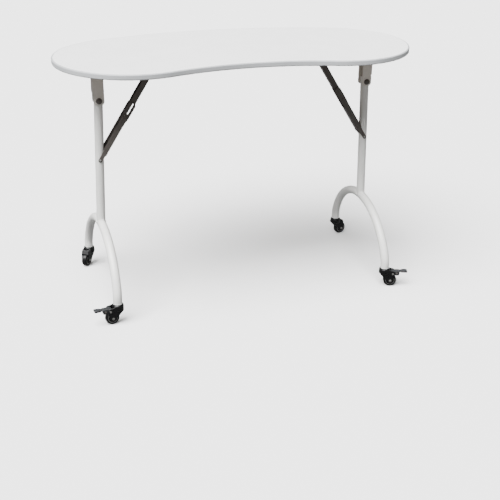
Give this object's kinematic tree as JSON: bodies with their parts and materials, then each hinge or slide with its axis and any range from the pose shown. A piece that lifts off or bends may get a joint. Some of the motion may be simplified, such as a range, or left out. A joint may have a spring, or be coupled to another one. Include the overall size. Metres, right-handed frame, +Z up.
{
  "type": "folding manicure table",
  "caption": "Kidney-shaped white table on two folding legs, each with a folding brace and an arched tubular foot on swivel casters.",
  "frame": {"origin": "on the floor under the middle of the table's bounding box", "axes": "+X along the table's length to the right as the sitter sees it, +Y from the sitter's hollowed side to the back, +Z up"},
  "size_m": [1.0248, 0.5034, 0.7],
  "materials": {
    "board_core": "raw fibreboard, hidden between the laminate and the edge band",
    "white_laminate": "smooth white laminate with a soft satin gloss",
    "edge_trim": "pale grey rounded edge band",
    "white_powder_coat": "white powder coat on steel tube",
    "bracket_paint": "pale warm grey paint on pressed steel",
    "dark_steel": "dark bronze-grey satin finish on pressed steel",
    "zinc_steel": "zinc-plated steel",
    "white_plastic": "white moulded plug",
    "black_plastic": "glossy black moulded nylon",
    "wheel_plastic": "black moulded wheel, semi-gloss",
    "grey_plastic": "dark grey moulded plastic"
  },
  "bodies": {
    "table_top": {"tabletop_board": "board_core", "tabletop_laminate": "white_laminate", "edge_band": "edge_trim", "hinge_bracket_left": "bracket_paint", "bracket_screw_front_left": "zinc_steel", "bracket_screw_rear_left": "zinc_steel", "hinge_bolt_left": "dark_steel", "hinge_nut_left": "dark_steel", "brace_anchor_left": "bracket_paint", "anchor_pin_left": "dark_steel", "anchor_screw_outer_left": "zinc_steel", "anchor_screw_inner_left": "zinc_steel", "hinge_bracket_right": "bracket_paint", "bracket_screw_front_right": "zinc_steel", "bracket_screw_rear_right": "zinc_steel", "hinge_bolt_right": "dark_steel", "hinge_nut_right": "dark_steel", "brace_anchor_right": "bracket_paint", "anchor_pin_right": "dark_steel", "anchor_screw_outer_right": "zinc_steel", "anchor_screw_inner_right": "zinc_steel"},
    "leg_left": {"leg_post_left": "white_powder_coat", "foot_arch_left": "white_powder_coat", "brace_rivet_left": "zinc_steel", "tube_plug_left_front": "white_plastic", "caster_stem_left_front": "zinc_steel", "tube_plug_left_rear": "white_plastic", "caster_stem_left_rear": "zinc_steel"},
    "brace_lower_left": {"brace_lower_left": "dark_steel", "elbow_stud_front_left": "dark_steel", "elbow_stud_rear_left": "dark_steel"},
    "brace_upper_left": {"brace_upper_left": "dark_steel"},
    "leg_right": {"leg_post_right": "white_powder_coat", "foot_arch_right": "white_powder_coat", "brace_rivet_right": "zinc_steel", "tube_plug_right_front": "white_plastic", "caster_stem_right_front": "zinc_steel", "tube_plug_right_rear": "white_plastic", "caster_stem_right_rear": "zinc_steel"},
    "brace_lower_right": {"brace_lower_right": "dark_steel", "elbow_stud_front_right": "dark_steel", "elbow_stud_rear_right": "dark_steel"},
    "brace_upper_right": {"brace_upper_right": "dark_steel"},
    "caster_left_front": {"caster_fork_left_front": "black_plastic", "caster_axle_left_front": "zinc_steel", "lever_pin_left_front": "zinc_steel"},
    "wheel_left_front": {"caster_wheel_left_front": "wheel_plastic"},
    "lever_left_front": {"brake_lever_left_front": "grey_plastic"},
    "caster_left_rear": {"caster_fork_left_rear": "black_plastic", "caster_axle_left_rear": "zinc_steel"},
    "wheel_left_rear": {"caster_wheel_left_rear": "wheel_plastic"},
    "caster_right_front": {"caster_fork_right_front": "black_plastic", "caster_axle_right_front": "zinc_steel", "lever_pin_right_front": "zinc_steel"},
    "wheel_right_front": {"caster_wheel_right_front": "wheel_plastic"},
    "lever_right_front": {"brake_lever_right_front": "grey_plastic"},
    "caster_right_rear": {"caster_fork_right_rear": "black_plastic", "caster_axle_right_rear": "zinc_steel"},
    "wheel_right_rear": {"caster_wheel_right_rear": "wheel_plastic"}
  },
  "joints": [
    {"name": "leg_left_fold", "type": "hinge", "parent": "table_top", "child": "leg_left", "pos_m": [-0.3965, -0.02227, 0.585], "axis": [0, -1, 0], "range_deg": [0, 84]},
    {"name": "brace_upper_left_turn", "type": "hinge", "parent": "table_top", "child": "brace_upper_left", "pos_m": [-0.2395, -0.02227, 0.672], "axis": [0, -1, 0], "range_deg": [0, 111.5]},
    {"name": "brace_lower_left_turn", "type": "hinge", "parent": "leg_left", "child": "brace_lower_left", "pos_m": [-0.40196, -0.02227, 0.41399], "axis": [0, -1, 0], "range_deg": [-106, 0]},
    {"name": "leg_right_fold", "type": "hinge", "parent": "table_top", "child": "leg_right", "pos_m": [0.3965, -0.02227, 0.585], "axis": [0, 1, 0], "range_deg": [0, 78]},
    {"name": "brace_upper_right_turn", "type": "hinge", "parent": "table_top", "child": "brace_upper_right", "pos_m": [0.2395, -0.02227, 0.672], "axis": [0, 1, 0], "range_deg": [0, 104.8]},
    {"name": "brace_lower_right_turn", "type": "hinge", "parent": "leg_right", "child": "brace_lower_right", "pos_m": [0.40196, -0.02227, 0.41399], "axis": [0, 1, 0], "range_deg": [-98.6, 0]},
    {"name": "swivel_left_front", "type": "hinge", "parent": "leg_left", "child": "caster_left_front", "pos_m": [-0.40408, -0.2233, 0.05], "axis": [0, 0, 1], "continuous": true},
    {"name": "wheel_left_front_spin", "type": "hinge", "parent": "caster_left_front", "child": "wheel_left_front", "pos_m": [-0.42194, -0.22549, 0.02], "axis": [0.1219, -0.9925, 0], "continuous": true},
    {"name": "brake_left_front", "type": "hinge", "parent": "caster_left_front", "child": "lever_left_front", "pos_m": [-0.42839, -0.22628, 0.0425], "axis": [0.1219, -0.9925, 0], "range_deg": [0, 10]},
    {"name": "swivel_left_rear", "type": "hinge", "parent": "leg_left", "child": "caster_left_rear", "pos_m": [-0.42231, 0.17829, 0.05], "axis": [0, 0, 1], "continuous": true},
    {"name": "wheel_left_rear_spin", "type": "hinge", "parent": "caster_left_rear", "child": "wheel_left_rear", "pos_m": [-0.43364, 0.1643, 0.02], "axis": [0.7771, -0.6293, 0], "continuous": true},
    {"name": "swivel_right_front", "type": "hinge", "parent": "leg_right", "child": "caster_right_front", "pos_m": [0.41039, -0.22333, 0.05], "axis": [0, 0, 1], "continuous": true},
    {"name": "wheel_right_front_spin", "type": "hinge", "parent": "caster_right_front", "child": "wheel_right_front", "pos_m": [0.42761, -0.22859, 0.02], "axis": [0.2924, 0.9563, 0], "continuous": true},
    {"name": "brake_right_front", "type": "hinge", "parent": "caster_right_front", "child": "lever_right_front", "pos_m": [0.43382, -0.23049, 0.0425], "axis": [0.2924, 0.9563, 0], "range_deg": [0, 10]},
    {"name": "swivel_right_rear", "type": "hinge", "parent": "leg_right", "child": "caster_right_rear", "pos_m": [0.41601, 0.17863, 0.05], "axis": [0, 0, 1], "continuous": true},
    {"name": "wheel_right_rear_spin", "type": "hinge", "parent": "caster_right_rear", "child": "wheel_right_rear", "pos_m": [0.43361, 0.18238, 0.02], "axis": [-0.2079, 0.9781, 0], "continuous": true}
  ],
  "couplings": [
    {"joint": "brace_upper_left_turn", "follows": "leg_left_fold", "ratio": 1.3246},
    {"joint": "brace_lower_left_turn", "follows": "leg_left_fold", "ratio": -1.2596},
    {"joint": "brace_upper_right_turn", "follows": "leg_right_fold", "ratio": 1.3397},
    {"joint": "brace_lower_right_turn", "follows": "leg_right_fold", "ratio": -1.2603}
  ]
}
